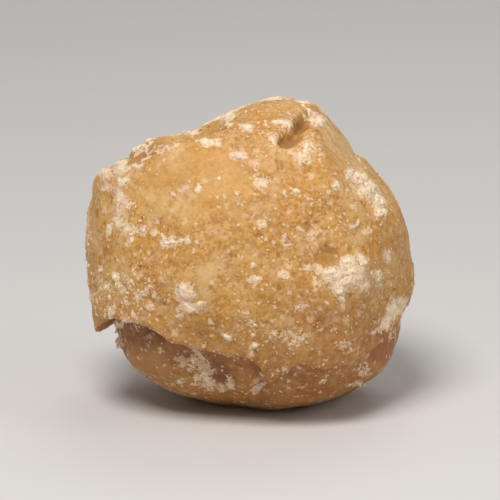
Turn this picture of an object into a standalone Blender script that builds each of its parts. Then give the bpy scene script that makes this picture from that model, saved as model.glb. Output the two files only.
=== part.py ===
"""A lump of jaggery: one solid, hand-rolled ball of set cane sugar, standing on a small flat foot.

The lump is worked out in millimetres around its centre and written in metres. Its broad face looks
along FACE_ELEVATION, and places on that face are (x, y) as seen straight on. Azimuths run round the
lump from the front (-Y) towards +X, so 90 is its right-hand side and 180 its back.
"""

import math

import bmesh
import bpy
import numpy as np
from mathutils import Vector

MM = 0.001

# Driving dimensions, in millimetres and degrees.
CENTRE_HEIGHT = 23.3    # of the lump's centre above its foot
FACE_ELEVATION = 14.0
FRONT_DEPTH = 23.6
BACK_DEPTH = 23.2
FULLNESS = 2.25         # 2 is an ellipsoid, more is boxier

# Radius of the outline round the broad face, one every 45 degrees from its right-hand side upwards.
OUTLINE = (23.8, 25.4, 24.4, 23.8, 24.9, 24.6, 24.4, 27.0)

# Flats pressed by hands and neighbours: (direction on the face, tilt towards its viewer, distance).
FLATS = ((115, 8.5, 20.2), (86, 20, 22.4), (46, 12, 21.2), (182, 5, 24.5), (-20, 30, 25.2),
         (255, 38, 23.9), (110, -14, 20.9), (48, -16, 21.9), (72, -50, 22.2), (150, -40, 22.4),
         (205, -20, 24.0), (0, -62, 22.6), (-70, -55, 23.4))
FLAT_EDGE = 26          # the more, the sharper the edge between two flats

# The rolled skin ends in a lip round the lower body: (azimuth, height above the foot, depth under it).
LIP = ((-180, 10.5, 0.1), (-150, 9.5, 0.2), (-120, 10.2, 0.6), (-96, 11.9, 1.3), (-81, 12.9, 1.8),
       (-74, 13.8, 1.9), (-67, 15.6, 2.1), (-58, 17.2, 2.1), (-46, 17.6, 2.0), (-38, 17.0, 1.9),
       (-33, 15.7, 1.7), (-28, 14.5, 1.6), (-20, 13.9, 1.5), (-12, 13.5, 1.4), (-5, 12.8, 1.3),
       (1, 12.6, 1.4), (4, 11.4, 1.5), (6.5, 9.6, 1.5), (8.5, 9.2, 1.5), (11, 9.9, 1.4), (14, 11.0, 1.3),
       (19, 11.3, 1.1), (30, 11.0, 1.0), (40, 11.1, 0.9), (53, 11.8, 0.9), (62, 13.6, 0.9), (74, 15.4, 0.9),
       (88, 17.2, 0.8), (104, 17.4, 0.6), (125, 16.5, 0.3), (150, 13.0, 0.1))
LIP_EDGE = 0.8          # height over which the skin drops back
LIP_OVERHANG = 0.6      # how far the edge of the skin sags over the recess
LIP_FADE = 9.0          # height over which the recess comes back to the body below the lip
LIP_SWELL = 0.3         # how much of the depth stands out above the lip

# A thick crust breaks off along a shelf at the upper left of the face.
SHELF = ((-27.0, 10.6), (-21.5, 12.0), (-16.9, 11.4), (-10.8, 14.2), (-5.5, 16.2), (0.0, 19.0))
SHELF_RISE = 0.8
SHELF_DROP = 1.2
SHELF_EDGE = 0.8
SHELF_FADE = 5.0
SHELF_ENDS = (-9.0, -1.0)       # the shelf dies away between these places along x
SHELF_TURNS = (2.0, 10.0)       # and between these depths as it turns round the side

# Oval swellings and dimples: (azimuth and elevation of the view that faces it,
# x, y, width, height, turn, depth).
SWELLINGS = (
    (0, FACE_ELEVATION, -7.6, 8.6, 9.5, 6.5, 14, 0.8),        # the bald oval on the face
    (0, FACE_ELEVATION, -13.4, 15.8, 3.2, 1.8, 28, 1.2),      # the flap beyond the shelf
    (0, FACE_ELEVATION, -22.8, 9.8, 2.4, 1.7, 20, 0.9),       # the crusty corner at the shelf's outer end
    (0, FACE_ELEVATION, 14.5, -4.5, 5.0, 4.2, 20, 0.5),       # under the largest flake
    (0, FACE_ELEVATION, -14.0, -19.5, 8.0, 4.5, -38, 0.8),    # the lobe under the lip
    (88, -10, 0.0, 0.0, 6.0, 3.0, 0, 1.1),                    # where the right-hand side stands out
    (-104, 43, 0.0, 0.0, 5.0, 2.2, 0, 0.5),                   # the flap's outer end
    (116, 61, 0.0, 0.0, 4.0, 2.2, -25, 0.6),                  # the crown's right-hand shoulder
    (150, 20, -6.0, 2.0, 11.0, 8.0, -25, 0.9),
    (-110, 10, 4.0, -2.0, 9.0, 10.0, 30, 0.6),
)
DIMPLES = (
    (0, FACE_ELEVATION, 8.1, 18.4, 1.5, 1.1, 35, 2.2),        # two burst bubbles near the crown
    (0, FACE_ELEVATION, 6.0, 16.1, 1.9, 1.2, 25, 2.0),
    (0, FACE_ELEVATION, 11.9, -1.6, 1.7, 1.5, 0, 0.5),
    (0, FACE_ELEVATION, 3.0, 3.0, 8.0, 5.0, -35, 0.4),
    (-100, 35, 1.0, 0.0, 6.0, 1.3, 0, 0.9),                   # between the crusty corner and the flap
    (170, 10, 9.0, 6.0, 2.3, 1.9, 15, 1.6),                   # a bubble on the back
    (-120, 35, -2.0, 3.0, 10.0, 6.0, 40, 0.7),
    (95, 15, 3.0, 4.0, 9.0, 8.0, 10, 0.5),
)
SWELLING_EDGE = 1.0
DIMPLE_EDGE = 1.6       # the more, the steeper the side of a dimple

# Where the warm lump was folded: a crease down its back, in the view that faces it.
CREASE_VIEW = (160, 12)
CREASE = ((-16.0, 13.0), (-9.0, 8.0), (-2.0, 4.5), (4.0, -1.5), (7.0, -9.0))
CREASE_WIDTH = 1.3
CREASE_DEPTH = 1.3
CREASE_SWELL = 0.9      # the lower side of the fold stands proud
CREASE_SPREAD = 7.0

# Rolling leaves broad unevenness and smaller lumps: (their size, their height, seed).
UNEVENNESS = ((12.0, 0.8, 4), (4.6, 0.28, 9))

DENSE_SUBDIVISIONS = 7
KEPT_SHARE = 0.1

JAGGERY = {"colour": (0.56, 0.30, 0.10, 1.0), "roughness": 0.62, "metallic": 0.0}


def smooth_step(values, low, high):
    """0 up to low, 1 from high, with a smooth rise between."""
    share = np.clip((values - low) / (high - low), 0.0, 1.0)
    return share * share * (3.0 - 2.0 * share)


def view_axes(azimuth, elevation):
    """The right, up and outward axes of someone who looks at the lump from that side, as rows."""
    turn, lift = math.radians(azimuth), math.radians(elevation)
    right = (math.cos(turn), math.sin(turn), 0.0)
    outward = (math.sin(turn) * math.cos(lift), -math.cos(turn) * math.cos(lift), math.sin(lift))
    return np.array((right, np.cross(outward, right), outward))


def round_spline(at, places, values, period=360):
    """A smooth closed curve through values at places, read at the places in at."""
    places, values = np.asarray(places, float), np.asarray(values, float)
    spread = np.concatenate([places - period, places, places + period])
    repeated = np.tile(values, 3)
    slopes = np.gradient(repeated, spread)
    at = (at - places[0]) % period + places[0]
    index = np.clip(np.searchsorted(spread, at, side="right") - 1, 0, len(spread) - 2)
    step = spread[index + 1] - spread[index]
    t = (at - spread[index]) / step
    return ((1 + 2 * t) * (1 - t) ** 2 * repeated[index] + t * (1 - t) ** 2 * step * slopes[index]
            + t * t * (3 - 2 * t) * repeated[index + 1] + t * t * (t - 1) * step * slopes[index + 1])


def soft_noise(points, size, seed):
    """Smooth random hills between about -1 and 1, size apart."""
    random = np.random.default_rng(seed)
    slopes = random.normal(size=(256, 3))
    slopes /= np.linalg.norm(slopes, axis=1, keepdims=True)
    shuffled = np.tile(random.permutation(256), 3)
    at = points / size + 100.0
    cell = np.floor(at).astype(int)
    inside = at - cell
    ease = inside ** 3 * (inside * (inside * 6 - 15) + 10)
    total = np.zeros(len(points))
    for corner in np.ndindex(2, 2, 2):
        x, y, z = ((cell + corner) % 256).T
        offset = inside - corner
        weight = np.prod(np.where(corner, ease, 1 - ease), axis=1)
        total += weight * np.einsum("ij,ij->i", slopes[shuffled[shuffled[shuffled[x] + y] + z]], offset)
    return 1.6 * total


def line_distance(x, y, line):
    """How far each place lies to the left of a line of points, and where along x its nearest point is."""
    nearest, side, along = np.full(x.shape, np.inf), np.ones(x.shape), np.zeros(x.shape)
    for (x0, y0), (x1, y1) in zip(line, line[1:]):
        length = math.hypot(x1 - x0, y1 - y0)
        ux, uy = (x1 - x0) / length, (y1 - y0) / length
        t = np.clip((x - x0) * ux + (y - y0) * uy, 0.0, length)
        dx, dy = x - x0 - t * ux, y - y0 - t * uy
        distance = np.hypot(dx, dy)
        closer = distance < nearest
        nearest = np.where(closer, distance, nearest)
        side = np.where(closer, np.sign(ux * dy - uy * dx), side)
        along = np.where(closer, x0 + t * ux, along)
    return nearest * side, along


def rolled_body(directions):
    """The lump before its relief: its outline round the face, drawn out to its depths, less its flats."""
    face = directions @ view_axes(0, FACE_ELEVATION).T
    x, y, out = face.T
    angle = np.degrees(np.arctan2(y, x))
    outline = round_spline(angle, np.arange(len(OUTLINE)) * 360 / len(OUTLINE), OUTLINE)
    depth = np.where(out > 0, FRONT_DEPTH, BACK_DEPTH)
    across = np.hypot(x, y) / outline
    radius = (across ** FULLNESS + (np.abs(out) / depth) ** FULLNESS) ** (-1 / FULLNESS)
    shrink = radius ** -FLAT_EDGE
    for angle, tilt, distance in FLATS:
        angle, tilt = math.radians(angle), math.radians(tilt)
        normal = (math.cos(angle) * math.cos(tilt), math.sin(angle) * math.cos(tilt), math.sin(tilt))
        shrink += (np.maximum(face @ np.array(normal), 0) / distance) ** FLAT_EDGE
    return directions * (shrink ** (-1 / FLAT_EDGE))[:, None]


def lip_relief(points):
    """How far the skin stands out over its lip and the body lies back under it, and how far the edge sags."""
    azimuth = np.degrees(np.arctan2(points[:, 0], -points[:, 1]))
    places, heights, depths = zip(*LIP)
    below = round_spline(azimuth, places, heights) - CENTRE_HEIGHT - points[:, 2]
    depth = round_spline(azimuth, places, depths)
    recess = depth * smooth_step(below, 0.0, LIP_EDGE) * (1 - smooth_step(below, LIP_EDGE, LIP_FADE))
    swell = LIP_SWELL * depth * smooth_step(below, -5.0, 0.0) * (1 - smooth_step(below, 0.0, LIP_EDGE))
    sag = LIP_OVERHANG * depth * smooth_step(below, -1.6, 0.0) * (1 - smooth_step(below, 0.2, LIP_EDGE))
    return swell - recess, sag


def shelf_relief(points):
    """The crust stands proud up to the shelf's edge, and the body drops back beyond it."""
    x, y, out = (points @ view_axes(0, FACE_ELEVATION).T).T
    beyond, along = line_distance(x, y, SHELF)
    dropped = smooth_step(beyond, 0.0, SHELF_EDGE)
    rise = SHELF_RISE * smooth_step(beyond, -SHELF_FADE, 0.0) * (1 - dropped)
    drop = SHELF_DROP * dropped * (1 - smooth_step(beyond, SHELF_EDGE, SHELF_FADE))
    return (rise - drop) * (1 - smooth_step(along, *SHELF_ENDS)) * smooth_step(out, *SHELF_TURNS)


def crease_relief(points):
    """A fold: one side swells over a narrow groove."""
    x, y, out = (points @ view_axes(*CREASE_VIEW).T).T
    beside, along = line_distance(x, y, CREASE)
    start, started, ending, end = (CREASE[index][0] for index in (0, 1, -2, -1))
    ends = smooth_step(along, start, started) * (1 - smooth_step(along, ending, end))
    groove = CREASE_DEPTH * np.exp(-((beside / CREASE_WIDTH) ** 2))
    swell = CREASE_SWELL * smooth_step(-beside, 0.0, 1.5) * (1 - smooth_step(-beside, 1.5, CREASE_SPREAD))
    return (swell - groove) * ends * smooth_step(out, 0.0, 6.0)


def spot_relief(points, spots, edge):
    """Oval hills as high as each spot says. A higher edge makes tops flatter and sides steeper."""
    relief = np.zeros(len(points))
    for azimuth, elevation, x0, y0, width, height, turn, rise in spots:
        x, y, out = (points @ view_axes(azimuth, elevation).T).T
        c, s = math.cos(math.radians(turn)), math.sin(math.radians(turn))
        u = ((x - x0) * c + (y - y0) * s) / width
        v = ((y - y0) * c - (x - x0) * s) / height
        relief += rise * np.exp(-((u * u + v * v) ** edge)) * smooth_step(out, 0.0, 4.0)
    return relief


def lump_points(directions):
    """The lump's surface in those directions from its centre, in millimetres above the foot's plane."""
    points = rolled_body(directions)
    lip, sag = lip_relief(points)
    relief = lip + shelf_relief(points) + crease_relief(points)
    relief += spot_relief(points, SWELLINGS, SWELLING_EDGE) - spot_relief(points, DIMPLES, DIMPLE_EDGE)
    for size, height, seed in UNEVENNESS:
        relief += height * soft_noise(points, size, seed)
    points = points + directions * relief[:, None]
    points[:, 2] += CENTRE_HEIGHT - sag
    return points


def dense_lump():
    """A fine ball of triangles drawn out to the lump's surface."""
    ball = bmesh.new()
    bmesh.ops.create_icosphere(ball, subdivisions=DENSE_SUBDIVISIONS, radius=1.0)
    directions = np.array([v.co.normalized() for v in ball.verts])
    for vertex, place in zip(ball.verts, lump_points(directions) * MM):
        vertex.co = place
    mesh = bpy.data.meshes.new("dense_lump")
    ball.to_mesh(mesh)
    ball.free()
    return mesh


def thinned(mesh):
    """The mesh with fewer triangles, kept where the surface bends most."""
    helper = bpy.data.objects.new("thinning", mesh)
    bpy.context.scene.collection.objects.link(helper)
    thin = helper.modifiers.new("Thin", "DECIMATE")
    thin.ratio = KEPT_SHARE
    graph = bpy.context.evaluated_depsgraph_get()
    result = bpy.data.meshes.new_from_object(helper.evaluated_get(graph))
    bpy.data.objects.remove(helper)
    bpy.data.meshes.remove(mesh)
    return result


def stand_on_foot(mesh):
    """Cuts the lump off level at the height it stands on, closes the cut, and centres it over the origin."""
    body = bmesh.new()
    body.from_mesh(mesh)
    everything = body.verts[:] + body.edges[:] + body.faces[:]
    cut = bmesh.ops.bisect_plane(body, geom=everything, plane_co=(0, 0, 0), plane_no=(0, 0, -1),
                                 clear_outer=True)
    rim = [e for e in cut["geom_cut"] if isinstance(e, bmesh.types.BMEdge)]
    bmesh.ops.contextual_create(body, geom=rim)
    xs, ys = [v.co.x for v in body.verts], [v.co.y for v in body.verts]
    middle = Vector(((min(xs) + max(xs)) / 2, (min(ys) + max(ys)) / 2, 0))
    bmesh.ops.translate(body, verts=body.verts, vec=-middle)
    bmesh.ops.recalc_face_normals(body, faces=body.faces)
    body.to_mesh(mesh)
    body.free()


def jaggery_material():
    material = bpy.data.materials.new("jaggery")
    material.use_nodes = True
    shader = material.node_tree.nodes["Principled BSDF"]
    shader.inputs["Base Color"].default_value = JAGGERY["colour"]
    shader.inputs["Roughness"].default_value = JAGGERY["roughness"]
    shader.inputs["Metallic"].default_value = JAGGERY["metallic"]
    return material


def main():
    for obj in list(bpy.data.objects):
        bpy.data.objects.remove(obj)
    mesh = thinned(dense_lump())
    stand_on_foot(mesh)
    mesh.name = "jaggery_lump"
    mesh.materials.append(jaggery_material())
    mesh.shade_smooth()
    lump = bpy.data.objects.new("jaggery_lump", mesh)
    bpy.context.scene.collection.objects.link(lump)


main()
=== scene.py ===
"""The looks of the jaggery lump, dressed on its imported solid.

The lump's skin repeats the solid's own form at a fine grain. Crust, sugar grains and crumbs are separate
pieces that stand on it. Sizes are millimetres around the lump's centre, until a mesh is written in metres.
Places on the broad face are (x, y) as seen straight on; azimuths run from the front (-Y) towards +X.
"""

import math

import bmesh
import bpy
import numpy as np
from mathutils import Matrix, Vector


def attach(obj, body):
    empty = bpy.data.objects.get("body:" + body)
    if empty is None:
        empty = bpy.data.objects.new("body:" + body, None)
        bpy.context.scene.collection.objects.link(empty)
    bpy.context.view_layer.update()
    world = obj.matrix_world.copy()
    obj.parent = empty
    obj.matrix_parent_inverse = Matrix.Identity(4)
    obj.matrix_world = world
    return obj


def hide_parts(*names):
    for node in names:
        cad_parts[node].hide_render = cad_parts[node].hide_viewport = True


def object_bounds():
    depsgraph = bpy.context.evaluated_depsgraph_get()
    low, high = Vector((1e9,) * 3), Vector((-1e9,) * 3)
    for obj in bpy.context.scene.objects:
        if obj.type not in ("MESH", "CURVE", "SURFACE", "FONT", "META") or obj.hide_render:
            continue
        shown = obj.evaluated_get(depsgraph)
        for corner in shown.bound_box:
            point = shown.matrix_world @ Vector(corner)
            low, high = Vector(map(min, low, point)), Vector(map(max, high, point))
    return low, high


MM = 0.001
NODE = "jaggery_lump"
BODY = "root"

# -------------------------------- the solid's own form, as in its source
CENTRE_HEIGHT = 23.3    # of the lump's centre above its foot
FACE_ELEVATION = 14.0
FACE = (0, FACE_ELEVATION)      # the view that faces the broad face
FRONT_DEPTH = 23.6
BACK_DEPTH = 23.2
FULLNESS = 2.25         # 2 is an ellipsoid, more is boxier

# Radius of the outline round the broad face, one every 45 degrees from its right-hand side upwards.
OUTLINE = (23.8, 25.4, 24.4, 23.8, 24.9, 24.6, 24.4, 27.0)

# Flats pressed by hands and neighbours: (direction on the face, tilt towards its viewer, distance).
FLATS = ((115, 8.5, 20.2), (86, 20, 22.4), (46, 12, 21.2), (182, 5, 24.5), (-20, 30, 25.2),
         (255, 38, 23.9), (110, -14, 20.9), (48, -16, 21.9), (72, -50, 22.2), (150, -40, 22.4),
         (205, -20, 24.0), (0, -62, 22.6), (-70, -55, 23.4))
FLAT_EDGE = 26          # the more, the sharper the edge between two flats

# The rolled skin ends in a lip round the lower body: (azimuth, height above the foot, depth under it).
LIP = ((-180, 10.5, 0.1), (-150, 9.5, 0.2), (-120, 10.2, 0.6), (-96, 11.9, 1.3), (-81, 12.9, 1.8),
       (-74, 13.8, 1.9), (-67, 15.6, 2.1), (-58, 17.2, 2.1), (-46, 17.6, 2.0), (-38, 17.0, 1.9),
       (-33, 15.7, 1.7), (-28, 14.5, 1.6), (-20, 13.9, 1.5), (-12, 13.5, 1.4), (-5, 12.8, 1.3),
       (1, 12.6, 1.4), (4, 11.4, 1.5), (6.5, 9.6, 1.5), (8.5, 9.2, 1.5), (11, 9.9, 1.4), (14, 11.0, 1.3),
       (19, 11.3, 1.1), (30, 11.0, 1.0), (40, 11.1, 0.9), (53, 11.8, 0.9), (62, 13.6, 0.9), (74, 15.4, 0.9),
       (88, 17.2, 0.8), (104, 17.4, 0.6), (125, 16.5, 0.3), (150, 13.0, 0.1))
LIP_EDGE = 0.8          # height over which the skin drops back
LIP_OVERHANG = 0.6      # how far the edge of the skin sags over the recess
LIP_FADE = 9.0          # height over which the recess comes back to the body below the lip
LIP_SWELL = 0.3         # how much of the depth stands out above the lip

# A thick crust breaks off along a shelf at the upper left of the face.
SHELF = ((-27.0, 10.6), (-21.5, 12.0), (-16.9, 11.4), (-10.8, 14.2), (-5.5, 16.2), (0.0, 19.0))
SHELF_RISE = 0.8
SHELF_DROP = 1.2
SHELF_EDGE = 0.8
SHELF_FADE = 5.0
SHELF_ENDS = (-9.0, -1.0)       # the shelf dies away between these places along x
SHELF_TURNS = (2.0, 10.0)       # and between these depths as it turns round the side

# Oval swellings and dimples: (azimuth and elevation of the view that faces it,
# x, y, width, height, turn, depth).
SWELLINGS = (
    (*FACE, -7.6, 8.6, 9.5, 6.5, 14, 0.8),        # the bald oval on the face
    (*FACE, -13.4, 15.8, 3.2, 1.8, 28, 1.2),      # the flap beyond the shelf
    (*FACE, -22.8, 9.8, 2.4, 1.7, 20, 0.9),       # the crusty corner at the shelf's outer end
    (*FACE, 14.5, -4.5, 5.0, 4.2, 20, 0.5),       # under the largest flake
    (*FACE, -14.0, -19.5, 8.0, 4.5, -38, 0.8),    # the lobe under the lip
    (88, -10, 0.0, 0.0, 6.0, 3.0, 0, 1.1),        # where the right-hand side stands out
    (-104, 43, 0.0, 0.0, 5.0, 2.2, 0, 0.5),       # the flap's outer end
    (116, 61, 0.0, 0.0, 4.0, 2.2, -25, 0.6),      # the crown's right-hand shoulder
    (150, 20, -6.0, 2.0, 11.0, 8.0, -25, 0.9),
    (-110, 10, 4.0, -2.0, 9.0, 10.0, 30, 0.6),
)
DIMPLES = (
    (*FACE, 8.1, 18.4, 1.5, 1.1, 35, 2.2),        # two burst bubbles near the crown
    (*FACE, 6.0, 16.1, 1.9, 1.2, 25, 2.0),
    (*FACE, 11.9, -1.6, 1.7, 1.5, 0, 0.5),
    (*FACE, 3.0, 3.0, 8.0, 5.0, -35, 0.4),
    (-100, 35, 1.0, 0.0, 6.0, 1.3, 0, 0.9),       # between the crusty corner and the flap
    (170, 10, 9.0, 6.0, 2.3, 1.9, 15, 1.6),       # a bubble on the back
    (-120, 35, -2.0, 3.0, 10.0, 6.0, 40, 0.7),
    (95, 15, 3.0, 4.0, 9.0, 8.0, 10, 0.5),
)
SWELLING_EDGE = 1.0
DIMPLE_EDGE = 1.6       # the more, the steeper the side of a dimple

# Where the warm lump was folded: a crease down its back, in the view that faces it.
CREASE_VIEW = (160, 12)
CREASE = ((-16.0, 13.0), (-9.0, 8.0), (-2.0, 4.5), (4.0, -1.5), (7.0, -9.0))
CREASE_WIDTH = 1.3
CREASE_DEPTH = 1.3
CREASE_SWELL = 0.9      # the lower side of the fold stands proud
CREASE_SPREAD = 7.0

# Rolling leaves broad unevenness and smaller lumps: (their size, their height, seed).
UNEVENNESS = ((12.0, 0.8, 4), (4.6, 0.28, 9))

# -------------------------------- what the skin adds to it
SKIN_GRID = 127         # quads along each side of the six patches that make the skin
LIP_RAGGED = ((2.6, 0.55, 21), (1.1, 0.3, 22))        # how the lip wanders: (size, height, seed)
SHELF_RAGGED = (1.9, 0.4, 23)
HEALED_SKIN = ((2.6, 0.13, 51), (1.3, 0.09, 52), (0.75, 0.07, 53))      # fine relief: (size, height, seed)

# Dry pale crust on the face: (x, y, half width, half height, strength), then its turn if it has one.
FACE_CRUST = (
    # the large flake at the right, and what has broken off round it
    (13.9, -4.4, 2.9, 2, 1, 16), (11.9, -3.8, 1.2, 0.7, 1), (12.9, -6, 0.8, 1, 1, 10),
    (13.4, -7.6, 0.45, 0.8, 0.9, 8), (16.2, -2.2, 0.7, 1, 0.95), (14.4, -2.1, 1, 0.9, 0.95),
    (16.7, -5.6, 0.9, 0.8, 0.95), (18.9, -4.1, 0.9, 1, 0.95), (19.2, -5.8, 0.8, 0.5, 0.6),
    (10.2, -3.2, 0.6, 0.9, 0.8), (8.6, -3, 1.1, 0.7, 0.6, 10), (10, -5.6, 0.7, 1.2, 0.6),
    (13.7, -8.6, 0.5, 0.4, 0.9), (11.3, -8.3, 0.4, 0.35, 0.8),
    # the crown's rim, whose pale band along the top edge is partly painted highlight, and the spots under it
    (-1.4, 21.3, 2.4, 0.4, 0.8, 24), (2.9, 22.6, 3.4, 0.4, 0.85), (8, 21.6, 2.4, 0.4, 0.8, -22),
    (10.8, 19.8, 1.3, 0.7, 0.6, -55), (-3.3, 19.9, 1.3, 0.7, 0.9, 20), (-0.5, 17.7, 1.1, 0.5, 1, -25),
    (-2.8, 18.5, 0.9, 0.4, 0.9, -10), (-6.3, 15.3, 1.5, 0.55, 1, -5), (-4.6, 15.1, 0.5, 0.5, 1),
    (-1.6, 13.3, 1.7, 0.6, 0.9), (1.1, 11.6, 0.4, 0.8, 0.65), (1.8, 9.4, 1.1, 1, 0.85),
    (2.3, 18.4, 0.5, 0.3, 0.66), (-9, 17.7, 1.6, 0.35, 0.75, 14), (-11.9, 14, 1.3, 0.4, 0.9, 28),
    (-10.8, 14.5, 0.6, 0.5, 0.95), (-14.4, 12.6, 1.4, 0.35, 0.85, 38), (-16.6, 11.2, 1.5, 0.35, 0.9, 20),
    # round the burst bubbles
    (5, 18.2, 1.6, 0.5, 0.8, -8), (3.6, 15.7, 1.1, 1, 0.75), (10.2, 18.1, 0.9, 0.8, 0.95),
    (8.4, 14.4, 0.9, 1, 0.85), (7.6, 13.1, 2.1, 0.8, 0.75, -25),
    # the band down the right
    (14.8, 10.8, 0.7, 1.1, 0.9), (16.4, 10.2, 1.6, 1.1, 0.95, -25), (17.7, 8.7, 1.5, 1.4, 1, -40),
    (19, 6.8, 0.9, 1.6, 0.95, 10), (19.4, 4.9, 0.9, 0.7, 1), (12.8, 9, 0.8, 0.6, 0.95),
    (14.4, 8.5, 0.5, 0.4, 0.95), (7, 8.3, 0.9, 0.4, 0.85, -35), (5.4, 7.8, 0.3, 0.6, 0.8),
    (15.6, 3.3, 1.1, 0.3, 0.9, 48), (17.3, 2.2, 0.8, 0.5, 0.65), (20.4, -1.4, 0.4, 1.1, 0.65, 5),
    # the middle
    (1.7, 3.3, 0.9, 0.8, 0.7), (5.2, 1.4, 0.5, 0.8, 0.8), (5.7, 0.1, 0.45, 0.4, 0.9),
    (7.9, 2.6, 0.35, 0.35, 0.9), (9.6, 1.8, 1.3, 0.8, 0.55, 15), (0.7, -4.9, 1.2, 0.6, 0.8, 12),
    (0.7, -2.7, 0.4, 0.35, 0.9), (5.1, -4.1, 1, 0.7, 0.8), (-1.9, 8, 0.4, 0.35, 0.9),
    (-3.5, 7.2, 0.35, 0.3, 0.8), (-1.7, 6.5, 0.3, 0.3, 0.8), (-7.2, 8.5, 0.45, 0.8, 0.9, -10),
    (-11.1, 7.6, 0.4, 0.4, 0.9), (-9.6, 8.4, 1.2, 0.6, 0.62),
    # the streak and the two blobs at the left
    (-11.6, 0.6, 1.8, 0.9, 1, -3), (-12.8, 1.5, 0.4, 0.6, 0.9, 20), (-9.3, 0.8, 1.2, 0.35, 0.85),
    (-9.5, -6.7, 1.6, 1.4, 1), (-8.5, -8.8, 2.3, 0.8, 1, 4), (-10.3, -10.3, 0.7, 0.5, 0.95, -25),
    (-14.2, 2, 0.7, 0.5, 0.7),
    # the crusty corner and the strip below it
    (-19.3, 12.8, 1.2, 0.5, 0.95, 10), (-21.8, 11.8, 1.2, 0.4, 0.85, 30), (-20.4, 10.8, 1.4, 1.2, 0.9),
    (-18.2, 9.3, 1.1, 0.6, 0.85), (-18.3, 11, 1, 0.8, 0.8), (-20.6, 8.6, 1, 0.6, 0.62),
    (-18.8, 7.2, 0.6, 1.3, 0.85), (-19.2, 5.2, 0.5, 1.1, 0.85), (-18, 6.2, 1.4, 0.9, 0.6),
    (-17.6, 2.6, 1.4, 0.9, 0.66), (-16, 2.4, 0.5, 0.5, 1), (-17.8, 1.2, 0.45, 1.1, 0.8),
    (-20.8, 2.6, 0.3, 2, 0.68, -20), (-19.4, 3.6, 1.6, 0.8, 0.55), (-23.9, 4, 0.5, 5, 0.5, 4),
    # the flap beyond the shelf
    (-14.4, 17.2, 1.4, 0.5, 0.85, 20), (-16.6, 16, 0.6, 0.5, 0.68, 40), (-15.2, 14.4, 0.4, 0.7, 0.68),
    (-13.4, 14.2, 1, 0.5, 0.55),
    # the granular lower left
    (-19.6, -5.4, 0.4, 2, 0.95, 25), (-21.2, -5.8, 0.45, 0.45, 1), (-17.6, -5.2, 0.9, 0.3, 0.85, -30),
    (-22.2, -3.6, 0.3, 0.9, 0.8, -10), (-15, -5, 0.5, 0.3, 0.85), (-16, -7.3, 0.45, 0.45, 0.95),
    (-14.4, -7, 0.4, 0.5, 0.85), (-19.8, -8.8, 0.35, 0.6, 0.85, 10), (-23.3, -7.6, 0.5, 0.6, 0.85),
    (-20.5, -12, 0.9, 0.5, 0.95, -15), (-18, -11.3, 1.6, 0.35, 0.7, -20),
    # below: the spots above the lip, the crystals under it and the streak at the right-hand edge
    (-3.3, -13.1, 0.9, 0.5, 1, -35), (0.7, -14.3, 0.8, 0.4, 1), (3.5, -12.6, 0.4, 0.35, 0.9),
    (2.8, -13.5, 0.35, 0.3, 0.9), (-0.3, -9.8, 0.5, 0.4, 0.9), (-5.8, -11.3, 0.4, 0.4, 0.85),
    (7.7, -9, 0.9, 0.45, 0.75, 10), (6.2, -13.2, 3.4, 1.4, 0.4), (14, -14.5, 1.6, 1.2, 0.45),
    (-8.2, -16.9, 1.1, 0.9, 1, -30), (-9.6, -17.6, 0.8, 0.5, 0.9, -30), (-7, -18.5, 1, 0.9, 1, -45),
    (-5.9, -20.4, 0.9, 0.9, 1), (-7.9, -20, 0.7, 0.5, 0.95), (-8.7, -18.7, 0.5, 0.5, 0.9),
    (-5.6, -18.6, 0.6, 0.4, 0.8), (-10.6, -17.2, 0.6, 0.4, 0.8), (-2.9, -20.3, 0.7, 0.6, 0.95, 40),
    (-10.3, -19.8, 0.9, 0.5, 0.68), (-13.5, -15.5, 0.8, 0.3, 0.66, -30), (-4.2, -21.4, 0.6, 0.4, 0.9),
    (1.4, -21.5, 1.1, 0.6, 1, 14), (22, -9.2, 2.1, 0.75, 1, 50), (20.3, -11.3, 1.8, 0.55, 1, 48),
    (18.6, -12.7, 0.7, 0.35, 0.85, 50), (17.2, -18.7, 0.8, 0.9, 0.85), (17.2, -16.4, 0.5, 0.4, 0.8),
    (21.9, -13.4, 0.4, 1.6, 0.56, -20), (11, -20.2, 0.9, 0.5, 0.7), (16.2, -20.7, 2, 0.35, 0.8, 6),
    (2.1, -19.8, 1.2, 0.25, 0.85, -53), (4.6, -19.7, 0.8, 0.2, 0.68, 60),
    (5.6, -18.9, 0.5, 0.35, 0.8, 30), (7.4, -18.1, 0.5, 0.4, 0.85), (0.1, -11.1, 0.5, 0.4, 0.65),
    (1.9, -11.4, 0.4, 0.3, 0.7), (3.5, -11, 0.5, 0.3, 0.65), (-0.9, -17, 0.4, 0.3, 0.6),
    (3.8, -17.4, 0.35, 0.3, 0.65), (4.9, -17, 0.4, 0.3, 0.6),
)
# Other coatings, among them painted shade and a painted highlight: (azimuth, elevation, x, y, half width,
# half height, turn, strength).
WAX = (
    (*FACE, -7.6, 9.2, 8.6, 5.2, 14, 1), (*FACE, 3.6, 20.4, 3, 0.9, 0, 0.5),
    (*FACE, 0, -8, 5, 2, 5, 0.25), (*FACE, 20.5, 0, 2.2, 6, -4, 0.5), (62, 30, 0, 4, 8, 6, 20, 0.8),
    (118, 8, 0, 0, 7, 9, -30, 0.7), (186, 28, -2, 0, 9, 6, 10, 0.9), (-132, -2, 2, 0, 6, 7, 0, 0.7),
    (-88, 22, 0, 3, 7, 5, 30, 0.6),
)
GRANULAR = (
    (*FACE, -18, -7.5, 8, 6, -10, 1), (*FACE, 10, -14, 9, 5, 10, 0.4), (*FACE, 11, 3, 8, 6, 0, 0.5),
    (*FACE, -7, -18.5, 4.5, 2.5, -40, 1), (*FACE, 1, -12, 6, 3.6, 0, 0.5), (100, -8, 0, 0, 12, 6, 0, 0.8),
    (150, -5, 0, 0, 10, 8, 20, 0.7), (-100, 2, 0, 0, 9, 9, 0, 0.9), (-150, 40, 0, 0, 10, 7, 0, 0.7),
    (30, 62, 0, 0, 8, 9, 0, 0.6),
)
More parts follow.
